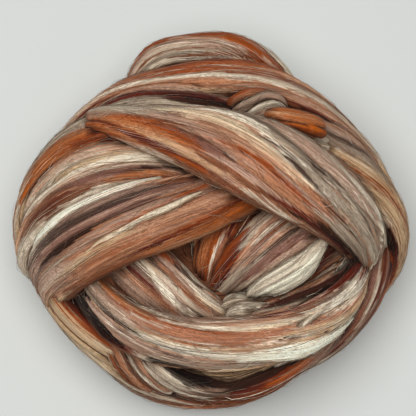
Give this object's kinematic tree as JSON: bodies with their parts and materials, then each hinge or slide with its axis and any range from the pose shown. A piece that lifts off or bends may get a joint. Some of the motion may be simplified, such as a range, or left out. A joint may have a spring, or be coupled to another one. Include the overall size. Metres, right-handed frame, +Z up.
{
  "type": "wool roving",
  "caption": "Loose nested ball of streaky combed wool top in cream, grey, taupe, brown and rust, resting on a small flat spot.",
  "frame": {"origin": "on the flat underside, below the middle of the ball", "axes": "+Z up, -Y towards the viewer of the picture, +X to the viewer's right"},
  "size_m": [0.198, 0.1879, 0.1122],
  "materials": {
    "combed_wool": "soft combed wool fibres in streaks of cream, silver grey, taupe, dark brown, rosy brown and rust orange"
  },
  "bodies": {
    "root": {"roving_ball": "combed_wool"}
  },
  "joints": []
}
